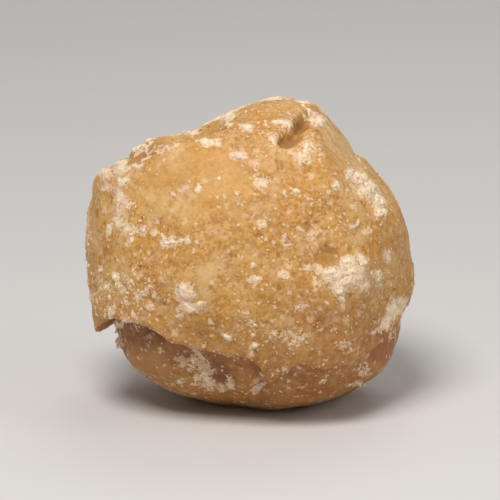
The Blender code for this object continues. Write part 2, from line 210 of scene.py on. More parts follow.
FILM_AND_HIGHLIGHT = (
    (*FACE, -5, -3.4, 3.2, 2.4, 0, 0.8), (*FACE, -18.6, 6.6, 2, 6.4, -8, 0.8),
    (*FACE, -18.6, 11.2, 2.8, 1.8, 10, 1), (*FACE, 16.8, 8.6, 3.4, 4.6, 32, 0.8),
    (*FACE, 8, 14.2, 3, 1.9, -30, 1), (*FACE, 14, 14, 5.5, 2, -48, 0.8),
    (*FACE, 6.8, -13, 4, 2.2, 0, 0.5), (*FACE, 9.3, 0.8, 2.6, 1.8, 0, 0.7),
    # the oval at (-10.4, 6.6) is pale partly as a painted highlight, where the bald oval faces the light
    (*FACE, -10.4, 6.6, 3.2, 2.6, 20, 1), (*FACE, -10.4, 13.3, 2, 0.8, 35, 0.9),
    (*FACE, 1.2, 12.5, 3, 1.2, -10, 0.7), (*FACE, 14.4, -4.2, 4.2, 3.4, 0, 0.8),
    (*FACE, -19.6, -6, 3.4, 3, 0, 0.6), (*FACE, -7.6, -19.2, 4.2, 2.2, -45, 0.5),
)
# Brown stains, partly painted shade: the strip right of the lip, and the spots under the lip and at the lower
# right.
STAIN_AND_SHADE = (
    (*FACE, -15.4, 14.2, 3.4, 1.8, 30, 0.6), (*FACE, 20.4, -14.6, 2.6, 3.8, -26, 1.2),
    (*FACE, 12, -20, 9, 3.4, 6, 1), (*FACE, -4.6, -18.9, 2.8, 2.2, -40, 0.9),
    (*FACE, -16.5, -8, 5.5, 4, -10, 0.22), (*FACE, 1, 18, 7, 3.6, 12, 0.2),
    (*FACE, 13, -13, 8, 5.5, 0, 0.45),
)
# Painted shade: a dark oval under the lip, left of the tongue.
LIP_SHADE_SPOTS = (
    (*FACE, -4.4, -18.9, 2.6, 1.5, -30, 0.9),
)
CLUSTERS = 30           # broken patches of crust on the sides that the face doesn't show
CLUSTER_AZIMUTHS = (82, 296)
CLUSTERS_SEED = 31
PIT_WIDTH = 3           # a dimple narrower than this is a pit, darkened inside by painted shade and free of crust
GRANULE = 1.25          # size of the clumps that granular places are made of
GRANULE_HEIGHT = 0.3
CRYSTAL = 1.5           # size of the crystals that the crust under the lip is made of
DUST_REACH = 0.8        # how far powder lies beyond the crust
FLAKE_FROM = 0.72       # crust as dense as this stands as a flake
FLAKE_STEPS = 2         # a flake's mesh is finer than the skin's by this much
FLAKE_ROOT = 0.3        # how deep a flake's edge goes into the skin
FLAKE_HEIGHTS = (0.04, 0.24)
CRYSTALS_STAND = 2.0    # how much further the crystals under the lip stand out
GRAINS = 3200
GRAIN_SIZES = (0.16, 0.4, 0.08, 0.40)       # the usual radius, its spread, the least and the most
GRAIN_SHAPE = (0.4, 0.4, 0.40, 0.25)        # unevenness, narrowest width and height to length, tilt
CRUMBS = 40
CRUMB_SIZES = (0.34, 0.35, 0.2, 0.7)
CRUMB_SHAPE = (0.22, 0.6, 0.7, 0.4)
NOISE_CELLS = 256       # every noise repeats after so many cells
NOISE_START = 100.0     # where the lump's centre lies in every noise, in cells along each axis

FLOOR_REACH = 3.0       # metres
CAMERA_DISTANCE = 0.84  # metres
# Soft round lights: (name, azimuth, elevation, distance and size in metres, watts, colour).
LIGHTS = (
    ("key", -18, 57, 0.55, 0.24, 2.6, (1.0, 0.97, 0.93)),
    ("fill", 72, 26, 0.60, 0.35, 0.60, (1.0, 0.98, 0.96)),
    ("back", 165, 48, 0.60, 0.35, 0.6, (1.0, 0.98, 0.96)),
)

# Colours, linear.
GOLD = (0.605, 0.300, 0.062, 1.0)
TAN = (0.620, 0.345, 0.106, 1.0)
AMBER = (0.400, 0.165, 0.030, 1.0)
HONEY = (0.750, 0.455, 0.155, 1.0)
BLOOM = (0.710, 0.460, 0.240, 1.0)
WAXY = (0.640, 0.355, 0.092, 1.0)
# greyish film, and a painted highlight
FILM_AND_HIGHLIGHT_GREY = (0.730, 0.500, 0.255, 1.0)
# stains and painted shade
STAIN_AND_SHADE_BROWN = (0.360, 0.138, 0.034, 1.0)
# painted shade under the lip
UNDER_LIP_SHADE = (0.250, 0.090, 0.045, 1.0)
# painted shade inside the pits
PIT_SHADE = (0.360, 0.170, 0.040, 1.0)
CREAM = (0.955, 0.765, 0.530, 1.0)
PINK = (0.890, 0.650, 0.470, 1.0)


def smooth_step(values, low, high):
    """0 up to low, 1 from high, with a smooth rise between."""
    share = np.clip((values - low) / (high - low), 0.0, 1.0)
    return share * share * (3.0 - 2.0 * share)


def view_axes(azimuth, elevation):
    """The right, up and outward axes of someone who looks at the lump from that side, as rows."""
    turn, lift = math.radians(azimuth), math.radians(elevation)
    right = (math.cos(turn), math.sin(turn), 0.0)
    outward = (math.sin(turn) * math.cos(lift), -math.cos(turn) * math.cos(lift), math.sin(lift))
    return np.array((right, np.cross(outward, right), outward))


def round_spline(at, places, values, period=360):
    """A smooth closed curve through values at places, read at the places in at."""
    places, values = np.asarray(places, float), np.asarray(values, float)
    spread = np.concatenate([places - period, places, places + period])
    repeated = np.tile(values, 3)
    slopes = np.gradient(repeated, spread)
    at = (at - places[0]) % period + places[0]
    index = np.clip(np.searchsorted(spread, at, side="right") - 1, 0, len(spread) - 2)
    step = spread[index + 1] - spread[index]
    t = (at - spread[index]) / step
    return ((1 + 2 * t) * (1 - t) ** 2 * repeated[index] + t * (1 - t) ** 2 * step * slopes[index]
            + t * t * (3 - 2 * t) * repeated[index + 1] + t * t * (t - 1) * step * slopes[index + 1])


def unit(vectors):
    """The vectors, each made one long."""
    return vectors / np.linalg.norm(vectors, axis=1, keepdims=True)


def shuffled_index(shuffled, cells):
    """Which of NOISE_CELLS entries belongs to each cell of space: always the same for the same cell."""
    x, y, z = (cells % NOISE_CELLS).T
    return shuffled[shuffled[shuffled[x] + y] + z]


def soft_noise(points, size, seed):
    """Smooth random hills between about -1 and 1, size apart."""
    random = np.random.default_rng(seed)
    slopes = unit(random.normal(size=(NOISE_CELLS, 3)))
    shuffled = np.tile(random.permutation(NOISE_CELLS), 3)
    at = points / size + NOISE_START
    cell = np.floor(at).astype(int)
    inside = at - cell
    ease = inside ** 3 * (inside * (inside * 6 - 15) + 10)
    total = np.zeros(len(points))
    for corner in np.ndindex(2, 2, 2):
        slope = slopes[shuffled_index(shuffled, cell + corner)]
        weight = np.prod(np.where(corner, ease, 1 - ease), axis=1)
        total += weight * np.einsum("ij,ij->i", slope, inside - corner)
    return 1.6 * total


def cell_noise(points, size, seed):
    """How far points are from the nearest of places strewn size apart, in sizes, and its random number."""
    random = np.random.default_rng(seed)
    places = random.uniform(size=(NOISE_CELLS, 3))
    numbers = random.uniform(size=NOISE_CELLS)
    shuffled = np.tile(random.permutation(NOISE_CELLS), 3)
    at = points / size + NOISE_START
    cell = np.floor(at).astype(int)
    nearest = np.full(len(points), np.inf)
    number = np.zeros(len(points))
    for step in np.ndindex(3, 3, 3):
        there = cell + step - 1
        index = shuffled_index(shuffled, there)
        distance = np.linalg.norm(there + places[index] - at, axis=1)
        closer = distance < nearest
        nearest = np.where(closer, distance, nearest)
        number = np.where(closer, numbers[index], number)
    return nearest, number


def line_distance(x, y, line):
    """How far each place lies to the left of a line of points, and where along x its nearest point is."""
    nearest, side, along = np.full(x.shape, np.inf), np.ones(x.shape), np.zeros(x.shape)
    for (x0, y0), (x1, y1) in zip(line, line[1:]):
        length = math.hypot(x1 - x0, y1 - y0)
        ux, uy = (x1 - x0) / length, (y1 - y0) / length
        t = np.clip((x - x0) * ux + (y - y0) * uy, 0.0, length)
        dx, dy = x - x0 - t * ux, y - y0 - t * uy
        distance = np.hypot(dx, dy)
        closer = distance < nearest
        nearest = np.where(closer, distance, nearest)
        side = np.where(closer, np.sign(ux * dy - uy * dx), side)
        along = np.where(closer, x0 + t * ux, along)
    return nearest * side, along


def rolled_body(directions):
    """The lump before its relief, and how near each point is to an edge between two of its flats."""
    face = directions @ view_axes(*FACE).T
    x, y, out = face.T
    angle = np.degrees(np.arctan2(y, x))
    outline = round_spline(angle, np.arange(len(OUTLINE)) * 360 / len(OUTLINE), OUTLINE)
    depth = np.where(out > 0, FRONT_DEPTH, BACK_DEPTH)
    across = np.hypot(x, y) / outline
    radius = (across ** FULLNESS + (np.abs(out) / depth) ** FULLNESS) ** (-1 / FULLNESS)
    shrink = radius ** -FLAT_EDGE
    most = shrink.copy()
    for angle, tilt, distance in FLATS:
        angle, tilt = math.radians(angle), math.radians(tilt)
        normal = (math.cos(angle) * math.cos(tilt), math.sin(angle) * math.cos(tilt), math.sin(tilt))
        here = (np.maximum(face @ np.array(normal), 0) / distance) ** FLAT_EDGE
        shrink += here
        most = np.maximum(most, here)
    return directions * (shrink ** (-1 / FLAT_EDGE))[:, None], smooth_step(1 - most / shrink, 0.15, 0.5)


def lip_place(points):
    """How far below the ragged lip each point is, and how deep the lip is there."""
    azimuth = np.degrees(np.arctan2(points[:, 0], -points[:, 1]))
    places, heights, depths = zip(*LIP)
    below = round_spline(azimuth, places, heights) - CENTRE_HEIGHT - points[:, 2]
    for size, height, seed in LIP_RAGGED:
        below += height * soft_noise(points, size, seed)
    return below, round_spline(azimuth, places, depths)


def lip_relief(below, depth):
    """How far the skin stands out over its lip and the body lies back under it, and how far the edge sags."""
    recess = depth * smooth_step(below, 0.0, LIP_EDGE) * (1 - smooth_step(below, LIP_EDGE, LIP_FADE))
    swell = LIP_SWELL * depth * smooth_step(below, -5.0, 0.0) * (1 - smooth_step(below, 0.0, LIP_EDGE))
    sag = LIP_OVERHANG * depth * smooth_step(below, -1.6, 0.0) * (1 - smooth_step(below, 0.2, LIP_EDGE))
    return swell - recess, sag


def shelf_relief(points):
    """The crust stands proud up to the shelf's edge, and the body drops back beyond it."""
    x, y, out = (points @ view_axes(*FACE).T).T
    size, height, seed = SHELF_RAGGED
    beyond, along = line_distance(x, y, SHELF)
    beyond += height * soft_noise(points, size, seed)
    over = smooth_step(beyond, 0.0, SHELF_EDGE)
    rise = SHELF_RISE * smooth_step(beyond, -SHELF_FADE, 0.0) * (1 - over)
    drop = SHELF_DROP * over * (1 - smooth_step(beyond, SHELF_EDGE, SHELF_FADE))
    return (rise - drop) * (1 - smooth_step(along, *SHELF_ENDS)) * smooth_step(out, *SHELF_TURNS)


def crease_relief(points):
    """A fold: one side swells over a narrow groove."""
    x, y, out = (points @ view_axes(*CREASE_VIEW).T).T
    beside, along = line_distance(x, y, CREASE)
    first, second, *_, last_but_one, last = [place[0] for place in CREASE]
    ends = smooth_step(along, first, second) * (1 - smooth_step(along, last_but_one, last))
    groove = CREASE_DEPTH * np.exp(-((beside / CREASE_WIDTH) ** 2))
    swell = CREASE_SWELL * smooth_step(-beside, 0.0, 1.5) * (1 - smooth_step(-beside, 1.5, CREASE_SPREAD))
    return (swell - groove) * ends * smooth_step(out, 0.0, 6.0)


def spot_distance(points, azimuth, elevation, x0, y0, width, height, turn):
    """How far points are from an oval's middle, in its own half sizes, and how far out in its view."""
    x, y, out = (points @ view_axes(azimuth, elevation).T).T
    c, s = math.cos(math.radians(turn)), math.sin(math.radians(turn))
    u = ((x - x0) * c + (y - y0) * s) / width
    v = ((y - y0) * c - (x - x0) * s) / height
    return np.hypot(u, v), out


def spot_relief(points, spots, edge):
    """How far oval swellings or dimples lift or sink each point."""
    relief = np.zeros(len(points))
    for *place, rise in spots:
        away, out = spot_distance(points, *place)
        relief += rise * np.exp(-(away ** (2 * edge))) * smooth_step(out, 0.0, 4.0)
    return relief


def main_form(directions):
    """The solid's form, as points before their relief, the relief, how far the lip sags, and the ridges."""
    points, ridge = rolled_body(directions)
    lip, sag = lip_relief(*lip_place(points))
    relief = lip + shelf_relief(points) + crease_relief(points)
    relief += spot_relief(points, SWELLINGS, SWELLING_EDGE) - spot_relief(points, DIMPLES, DIMPLE_EDGE)
    for size, height, seed in UNEVENNESS:
        relief += height * soft_noise(points, size, seed)
    return points, relief, sag, ridge


def lump_centre():
    """Where the lump's centre stands when its footprint is centred on the origin."""
    directions = cube_patches(40)[0]
    points, relief, _, _ = main_form(directions)
    points += directions * relief[:, None]
    middle = (points.min(axis=0) + points.max(axis=0)) / 2
    return np.array((-middle[0], -middle[1], CENTRE_HEIGHT))


# -------------------------------- where the skin is crusted, waxy or granular, and where shade and a highlight are painted on it
def crust_cluster(random):
    """A broken patch of crust somewhere on the sides: one large spot, with small ones strewn round it."""
    view = (random.uniform(*CLUSTER_AZIMUTHS), math.degrees(math.asin(random.uniform(-0.7, 1.0))))
    width = 0.8 + 2.6 * random.uniform() ** 2
    height = width * random.uniform(0.3, 0.9)
    turn = random.uniform(0, 180)
    spots = [(*view, 0, 0, width, height, turn, random.uniform(0.85, 1.0))]
    for _ in range(random.integers(3, 9)):
        away, angle = width * random.uniform(0.6, 2.4), random.uniform(0, 2 * math.pi)
        size = random.uniform(0.3, 0.45 * width + 0.3)
        spots.append((*view, away * math.cos(angle), away * math.sin(angle), size,
                      size * random.uniform(0.4, 1.0), random.uniform(0, 180), random.uniform(0.7, 1.0)))
    return spots


def all_crust():
    """The crust spots of every side, in the terms that spot_distance takes, each with its strength."""
    spots = []
    for x, y, width, height, strength, *turn in FACE_CRUST:
        spots.append((*FACE, x, y, width, height, *(turn or (0,)), strength))
    random = np.random.default_rng(CLUSTERS_SEED)
    for _ in range(CLUSTERS):
        spots += crust_cluster(random)
    return spots


def oval_cover(points, spots, inner, outer, grown=0.0):
    """How strongly points are covered by any of the spots, from 1 inside to 0 outside."""
    cover = np.zeros(len(points))
    for *view, width, height, turn, strength in spots:
        wider = grown * min(1.0, width, height)
        away, out = spot_distance(points, *view, width + wider, height + wider, turn)
        here = strength * (1 - smooth_step(away, inner, outer)) * smooth_step(out, -5.0, -1.0)
        cover = np.maximum(cover, here)
    return cover


def coatings(points, ridge):
    """The skin's coatings at points, among them painted shade and a painted highlight, each between 0 and 1.
    """
    wander = 0.45 * np.stack([soft_noise(points, 1.7, seed) for seed in (41, 42, 43)], axis=1)
    wander += 0.30 * np.stack([soft_noise(points, 0.8, seed) for seed in (44, 45, 46)], axis=1)
    hollow = np.zeros(len(points))
    # pits are free of crust and get painted shade inside, stronger in deeper ones
    for *place, fall in DIMPLES:
        if place[4] < PIT_WIDTH:
            away, out = spot_distance(points + 0.7 * wander, *place)
            hollow = np.maximum(hollow, min(1.0, fall) * (1 - smooth_step(away, 0.5, 1.15)) * (out > 0))
    level = 1 - smooth_step(hollow, 0.1, 0.4)
    crust = oval_cover(points + wander, CRUST, 0.3, 1.5) * level
    dust = oval_cover(points + wander, CRUST, 0.3, 1.1, DUST_REACH) * level
    wax = oval_cover(points + 2.0 * wander, WAX, 0.7, 1.15) * (1 - crust)
    grain = oval_cover(points + 3.0 * wander, GRANULAR, 0.3, 1.3) * level
    film_and_highlight = np.maximum(oval_cover(points + 2.0 * wander, FILM_AND_HIGHLIGHT, 0.4, 1.3),
                      0.7 * smooth_step(soft_noise(points, 6.5, 48), 0.1, 0.7))
    stain_and_shade = oval_cover(points + 2.2 * wander, STAIN_AND_SHADE, 0.5, 1.4)
    # painted shade: the skin gets darker towards the bottom
    stain_and_shade = np.maximum(stain_and_shade, 0.75 * smooth_step(-points[:, 2] + 2.5 * wander[:, 0], 3.5, 14.0))
    # painted shade under the lip: strongest just below its edge where the lip is deep, fading further down
    below, depth = lip_place(points)
    faded = smooth_step(below / np.maximum(depth, 0.5), 1.6, 4.4)
    shade = smooth_step(below, 0.1, 0.9) * (1 - faded) * smooth_step(depth, 0.9, 2.0)
    # more painted shade in a dark oval left of the tongue
    shade = np.maximum(shade, oval_cover(points + 1.5 * wander, LIP_SHADE_SPOTS, 0.4, 1.3))
    lip_edge = np.exp(-((below / 0.45) ** 2)) * smooth_step(depth, 0.4, 1.2)
    worn = smooth_step(soft_noise(points, 3.1, 49), -0.2, 0.7)
    ridge = 0.8 * ridge * smooth_step(points[:, 2], -16.0, 2.0)
    ridge = np.maximum(ridge, 0.7 * lip_edge) * worn * level
    clump, kind = cell_noise(points + 0.6 * wander, GRANULE, 61)
    crust = np.maximum(crust, 0.55 * grain * smooth_step(0.45 * kind + 0.12 - clump, 0.0, 0.15))
    chip, _ = cell_noise(points + 0.5 * wander, CRYSTAL, 62)
    crust = crust - 0.7 * smooth_step(chip, 0.42, 0.58) * smooth_step(-points[:, 2], 9.5, 11.5) * (crust > 0)
    return {"crust": crust, "dust": dust, "wax": wax, "grain": grain, "film_and_highlight": film_and_highlight, "hollow": hollow,
            "shade": shade, "stain_and_shade": stain_and_shade, "ridge": ridge}


def fine_relief(points, coat):
    """The skin's own roughness: rolled grain, sugar crystals, bubbles and dried edges."""
    rough = 0.55 + 0.8 * coat["grain"] + 1.2 * coat["shade"] + 2.0 * coat["hollow"]
    rough *= 1 - 0.8 * coat["wax"]
    relief = np.zeros(len(points))
    for size, height, seed in HEALED_SKIN:
        relief += height * soft_noise(points, size, seed) * rough
    clump, kind = cell_noise(points, GRANULE, 61)
    relief += coat["grain"] * GRANULE_HEIGHT * (0.3 + 0.7 * kind) * (1 - smooth_step(clump, 0.1, 0.75))
    bubble, kind = cell_noise(points, 2.9, 55)
    relief -= 0.45 * (1 - smooth_step(bubble, 0.05, 0.08 + 0.16 * kind)) * (kind > 0.45) * (1 - coat["wax"])
    relief += coat["crust"] * (0.10 + 0.10 * soft_noise(points, 1.0, 56))
    return relief


def skin_points(directions):
    """The skin in those directions, in millimetres around the lump's centre, and its coatings."""
    points, relief, sag, ridge = main_form(directions)
    coat = coatings(points, ridge)
    skin = points + directions * (relief + fine_relief(points, coat))[:, None]
    skin[:, 2] -= sag
    return skin, coat


# -------------------------------- meshes
def square_quads(steps):
    """The quads of a square grid of steps by steps, as places in its rows of points."""
    corner = np.arange(steps * (steps + 1)).reshape(steps, steps + 1)[:, :-1].ravel()
    return np.stack([corner, corner + 1, corner + steps + 2, corner + steps + 1], axis=1)


def merged(directions, faces):
    """The same faces on directions that are each listed once."""
    _, first, index = np.unique(np.round(directions, 6), axis=0, return_index=True, return_inverse=True)
    return directions[first], index.reshape(-1)[faces]


def cube_patches(grid):
    """A ball's directions and quads, in six square patches, and each quad corner's place in a 3 by 2 map."""
    steps = np.linspace(-1, 1, grid + 1)
    across, up = np.meshgrid(np.tan(steps * math.pi / 4), np.tan(steps * math.pi / 4))
    share_x, share_y = np.meshgrid((steps + 1) / 2, (steps + 1) / 2)
    quads = square_quads(grid)
    directions, faces, places = [], [], []
    for patch in range(6):
        axis, sign = patch % 3, 1 if patch < 3 else -1
        side = np.empty((across.size, 3))
        side[:, axis] = sign
        side[:, (axis + 1) % 3] = sign * across.ravel()
        side[:, (axis + 2) % 3] = up.ravel()
        directions.append(unit(side))
        faces.append(quads + patch * across.size)
        cell = np.stack([share_x.ravel(), share_y.ravel()], axis=1) * 0.97 + 0.015
        places.append((cell + (patch % 3, patch // 3)) / (3, 2))
    directions, faces, places = map(np.concatenate, (directions, faces, places))
    places = places[faces]
    directions, faces = merged(directions, faces)
    inward = facing_inward(directions, faces)
    faces[inward] = faces[inward, ::-1]
    places[inward] = places[inward, ::-1]
    return directions, faces, places


def facing_inward(points, faces):
    """Which faces of a mesh that is closed round the middle face in."""
    corners = points[faces]
    normals = np.cross(corners[:, 1] - corners[:, 0], corners[:, 2] - corners[:, 0])
    return np.einsum("ij,ij->i", normals, corners.mean(axis=1)) < 0


def split_quads(directions, faces, places, steps):
    """The quads split into steps by steps smaller ones, with their places in the map."""
    share = np.linspace(0, 1, steps + 1)
    u, v = map(np.ravel, np.meshgrid(share, share))
    weights = np.stack([(1 - u) * (1 - v), u * (1 - v), u * v, (1 - u) * v], axis=1)
    fine = unit(np.einsum("kc,ncd->nkd", weights, directions[faces]).reshape(-1, 3))
    fine_places = np.einsum("kc,ncd->nkd", weights, places).reshape(-1, 2)
    starts = np.arange(len(faces))[:, None, None] * len(weights)
    fine_faces = (square_quads(steps)[None] + starts).reshape(-1, 4)
    return *merged(fine, fine_faces), fine_places[fine_faces]


def mesh_of(name, points, faces, material, places=None, smooth=True):
    """A mesh object from points in metres, with each face corner's place in the map that a bake uses."""
    mesh = bpy.data.meshes.new(name)
    mesh.from_pydata(points.tolist(), [], faces.tolist())
    mesh.materials.append(material)
    if smooth:
        mesh.shade_smooth()
    if places is not None:
        layer = mesh.uv_layers.new(name="OFBake")
        layer.data.foreach_set("uv", places.astype(np.float32).ravel())
    piece = bpy.data.objects.new(name, mesh)
    bpy.context.scene.collection.objects.link(piece)
    return piece


def keep_values(piece, name, values):
    """Gives a piece's points values, which its material reads by that name."""
    layer = piece.data.attributes.new(name, "FLOAT", "POINT")
    layer.data.foreach_set("value", values.astype(np.float32))


def make_skin(faces, places, skin, coat, material):
    """The lump's skin, with its coatings and painted shade kept for the material."""
    resting = skin + CENTRE
    resting[:, 2] = np.maximum(resting[:, 2], 0.0)
    piece = mesh_of("lump_skin", resting * MM, faces, material, places)
    for name, cover in coat.items():
        keep_values(piece, name, cover)
    return piece


def closed_shell(top, bottom, faces, places):
    """A closed mesh between two sheets that share the same quads: its points, quads and places in the map."""
    count = len(top)
    edges = np.concatenate([faces[:, [i, (i + 1) % 4]] for i in range(4)])
    edge_places = np.concatenate([places[:, [i, (i + 1) % 4]] for i in range(4)])
    _, index, uses = np.unique(np.sort(edges, axis=1), axis=0, return_inverse=True, return_counts=True)
    rim = uses[index.reshape(-1)] == 1
    walls = np.concatenate([edges[rim][:, ::-1], edges[rim] + count], axis=1)
    wall_places = np.concatenate([edge_places[rim][:, ::-1], edge_places[rim]], axis=1)
    points = np.concatenate([top, bottom])
    every_face = np.concatenate([faces[:, ::-1] + count, walls, faces])
    every_place = np.concatenate([places[:, ::-1], wall_places, places])
    used, index = np.unique(every_face, return_inverse=True)
    return points[used], index.reshape(every_face.shape), every_place


def make_flakes(directions, faces, places, coat, material):
    """The crust where it is thick enough to stand as flakes, with broken edges that go into the skin."""
    dense = coat["crust"][faces].max(axis=1) > FLAKE_FROM - 0.25
    directions, faces, places = split_quads(directions, faces[dense], places[dense], FLAKE_STEPS)
    skin, coat = skin_points(directions)
    thick = coat["crust"] - FLAKE_FROM - 0.04 + 0.22 * soft_noise(skin, 1.3, 70)
    thick += 0.24 * soft_noise(skin, 0.7, 71) + 0.16 * soft_noise(skin, 0.38, 72)
    thin, full = FLAKE_HEIGHTS
    height = thin + (full - thin) * smooth_step(thick, 0.0, 0.4)
    height *= 1 + CRYSTALS_STAND * smooth_step(-skin[:, 2], 10.5, 12.5)
    crumpled = 0.06 * soft_noise(skin, 1.0, 73) + 0.05 * soft_noise(skin, 0.4, 74)
    height += crumpled * smooth_step(thick, 0.0, 0.2)
    height = -FLAKE_ROOT + (FLAKE_ROOT + height) * smooth_step(thick, -0.08, 0.08)
    kept = (thick[faces].max(axis=1) > -0.08) & (skin[faces][:, :, 2].min(axis=1) > 1.0 - CENTRE_HEIGHT)
    top = skin + directions * height[:, None] + CENTRE
    bottom = skin - directions * (FLAKE_ROOT + 0.2) + CENTRE
    points, faces, places = closed_shell(top, bottom, faces[kept], places[kept])
    return mesh_of("crust_flakes", points * MM, faces, material, places)


def unit_ball(subdivisions):
    """The points and triangles of a ball."""
    ball = bmesh.new()
    bmesh.ops.create_icosphere(ball, subdivisions=subdivisions, radius=1.0)
    ball.verts.index_update()
    points = np.array([vertex.co[:] for vertex in ball.verts])
    faces = np.array([[vertex.index for vertex in face.verts] for face in ball.faces])
    ball.free()
    return points, faces


def laid_on(random, normals, tilt):
    """Rotations that lay a stone's x and y along the surface, spun and tilted at random, as matrices."""
    outward = unit(normals + tilt * random.normal(size=normals.shape))
    across = unit(np.cross(outward, random.normal(size=normals.shape)))
    return np.stack([across, np.cross(outward, across), outward], axis=2)


def scatter(name, piece, weight, count, sizes, ball, shape, seed, material):
    """Small irregular stones set in the piece's surface, most where weight is high, as one mesh."""
    random = np.random.default_rng(seed)
    usual, spread, least, most = sizes
    uneven, narrow, flat, tilt = shape
    skin = np.empty(len(piece.data.vertices) * 3)
    normals = np.empty(len(skin))
    piece.data.vertices.foreach_get("co", skin)
    piece.data.vertices.foreach_get("normal", normals)
    chosen = random.choice(len(weight), count, p=weight / weight.sum())
    skin, normals = skin.reshape(-1, 3)[chosen] / MM, normals.reshape(-1, 3)[chosen]
    size = np.clip(usual * np.exp(spread * random.normal(size=count)), least, most)
    stones, triangles = ball
    stone = stones[None] * (1 + uneven * random.uniform(-1, 1, size=(count, len(stones), 1)))
    stone = stone * random.uniform((narrow, narrow, 0.8 * flat), (1.0, 1.0, 1.2 * flat), size=(count, 1, 3))
    stone = np.einsum("nij,nkj->nki", laid_on(random, normals, tilt), stone) * size[:, None, None]
    middles = skin + random.uniform(-0.15, 0.15, size=(count, 3))
    middles += normals * (flat * size * random.uniform(-0.2, 0.3, size=count))[:, None]
    points = (stone + middles[:, None]).reshape(-1, 3)
    points[:, 2] = np.maximum(points[:, 2], 0.0)
    faces = (triangles[None] + np.arange(count)[:, None, None] * len(stones)).reshape(-1, 3)
    columns = math.ceil(math.sqrt(count))
    cells = np.stack([np.arange(count) % columns, np.arange(count) // columns], axis=1)
    places = ((stones[:, :2] * 0.45 + 0.5)[None] + cells[:, None]) / columns
    made = mesh_of(name, points * MM, faces, material, places.reshape(-1, 2)[faces], smooth=False)
    keep_values(made, "tint", np.repeat(random.uniform(size=count), len(stones)))
    return made


def grain_weight(skin, coat):
    """Sugar grains lie round the crust, along the edges and in the granular places, in loose drifts."""
    halo = smooth_step(coat["crust"], 0.08, 0.35) * (1 - smooth_step(coat["crust"], 0.55, 0.8))
    drift = 0.25 + 1.1 * smooth_step(soft_noise(skin, 3.0, 81), -0.2, 0.7)
    sheltered = smooth_step(coat["crust"], 0.4, 0.8) * smooth_step(-skin[:, 2], 11.0, 13.0)
    weight = (0.16 + 0.8 * coat["grain"] + 1.6 * halo + 0.8 * coat["ridge"] + 12.0 * sheltered) * drift
    return weight * (1 - 0.9 * coat["wax"]) * (1 - coat["hollow"]) * (skin[:, 2] > 3.0 - CENTRE_HEIGHT)


def crumb_weight(skin, coat):
    """Crumbs of the lump itself stick in the granular places and under the lip."""
    clumps = smooth_step(soft_noise(skin, 4.0, 82), 0.0, 0.7)
    return (0.03 + coat["grain"] ** 2 + 0.5 * coat["shade"]) * clumps * (skin[:, 2] > 2.5 - CENTRE_HEIGHT)


# -------------------------------- materials
def set_inputs(tree, node, inputs):
    """Sets a node's inputs to values, or links them to sockets."""
    for name, value in inputs.items():
        if isinstance(value, bpy.types.NodeSocket):
            tree.links.new(value, node.inputs[name])
        else:
            node.inputs[name].default_value = value


def add_node(tree, kind, inputs=None, **settings):
    """A new node with its settings and inputs."""
    made = tree.nodes.new(kind)
    for name, value in settings.items():
        setattr(made, name, value)
    set_inputs(tree, made, inputs or {})
    return made


def maths(tree, operation, a, b=0.0, c=0.0, clamp=False):
    """What an operation on sockets or numbers gives."""
    made = add_node(tree, "ShaderNodeMath", {0: a, 1: b, 2: c}, operation=operation, use_clamp=clamp)
    return made.outputs[0]


def times(tree, a, b, plus=None, clamp=False):
    """a times b, plus something more if it is given."""
    if plus is None:
        return maths(tree, "MULTIPLY", a, b)
    return maths(tree, "MULTIPLY_ADD", a, b, plus, clamp)


def mixed(tree, share, a, b):
    """The colour a where share is 0 and b where it is 1."""
    made = add_node(tree, "ShaderNodeMix", {0: share, 6: a, 7: b}, data_type="RGBA")
    return made.outputs[2]


def ranged(tree, value, low, high, to_low=0.0, to_high=1.0):
    """to_low up to low, to_high from high, with a smooth change between."""
    made = add_node(tree, "ShaderNodeMapRange", {0: value, 1: low, 2: high, 3: to_low, 4: to_high},
                    interpolation_type="SMOOTHSTEP")
    return made.outputs[0]


def grained(tree, place, size, detail=2.0, roughness=0.55, output="Fac"):
    """Noise of lumps about size millimetres across."""
    made = add_node(tree, "ShaderNodeTexNoise", {
        "Vector": place, "Scale": 0.6 / (size * MM), "Detail": detail, "Roughness": roughness})
    return made.outputs[output]


def cells(tree, place, size, metric="EUCLIDEAN"):
    """Crystals about size millimetres across: how far from its middle, and two random numbers of each."""
    made = add_node(tree, "ShaderNodeTexVoronoi", {"Vector": place, "Scale": 1 / (size * MM)},
                    distance=metric)
    numbers = add_node(tree, "ShaderNodeSeparateColor", {"Color": made.outputs["Color"]}).outputs
    return made.outputs["Distance"], numbers[0], numbers[1]


def sprinkled(tree, place, size, density, largest, uneven, softness):
    """Ragged dots of crystals, in the share of cells that density says: 1 on a dot and 0 off it."""
    away, kind, girth = cells(tree, place, size, "CHEBYCHEV")
    reach = times(tree, girth, largest * 0.7, largest * 0.3)
    reach = maths(tree, "ADD", reach, times(tree, uneven, 0.6, -0.3))
    inside = ranged(tree, maths(tree, "SUBTRACT", reach, away), 0.0, softness)
    return times(tree, inside, maths(tree, "GREATER_THAN", density, kind))


def new_material(name):
    material = bpy.data.materials.new(name)
    material.use_nodes = True
    tree = material.node_tree
    return material, tree, tree.nodes["Principled BSDF"]


def set_surface(tree, shader, colour, rough, glow, specular, bump=None):
    """Links what varies over the surface, and sets what is the same all over it."""
    set_inputs(tree, shader, {"Base Color": colour, "Roughness": rough})
    if bump:
        tree.links.new(bump.outputs[0], shader.inputs["Normal"])
    shader.inputs["Subsurface Weight"].default_value = glow
    shader.inputs["Subsurface Radius"].default_value = (1.0, 0.45, 0.16)
    shader.inputs["Subsurface Scale"].default_value = 1.8 * MM
    shader.inputs["Specular IOR Level"].default_value = specular


def wandering(tree, place, size, distance):
    """place moved about by noise, so that what is drawn there gets ragged edges."""
    noise = grained(tree, place, size, roughness=0.5, output="Color")
    push = add_node(tree, "ShaderNodeVectorMath", {0: noise, 1: (0.5, 0.5, 0.5)}, operation="SUBTRACT")
    reach = (2 * distance * MM,) * 3
    moved = add_node(tree, "ShaderNodeVectorMath", {0: push.outputs[0], 1: reach, 2: place},
                     operation="MULTIPLY_ADD")
    return moved.outputs[0]


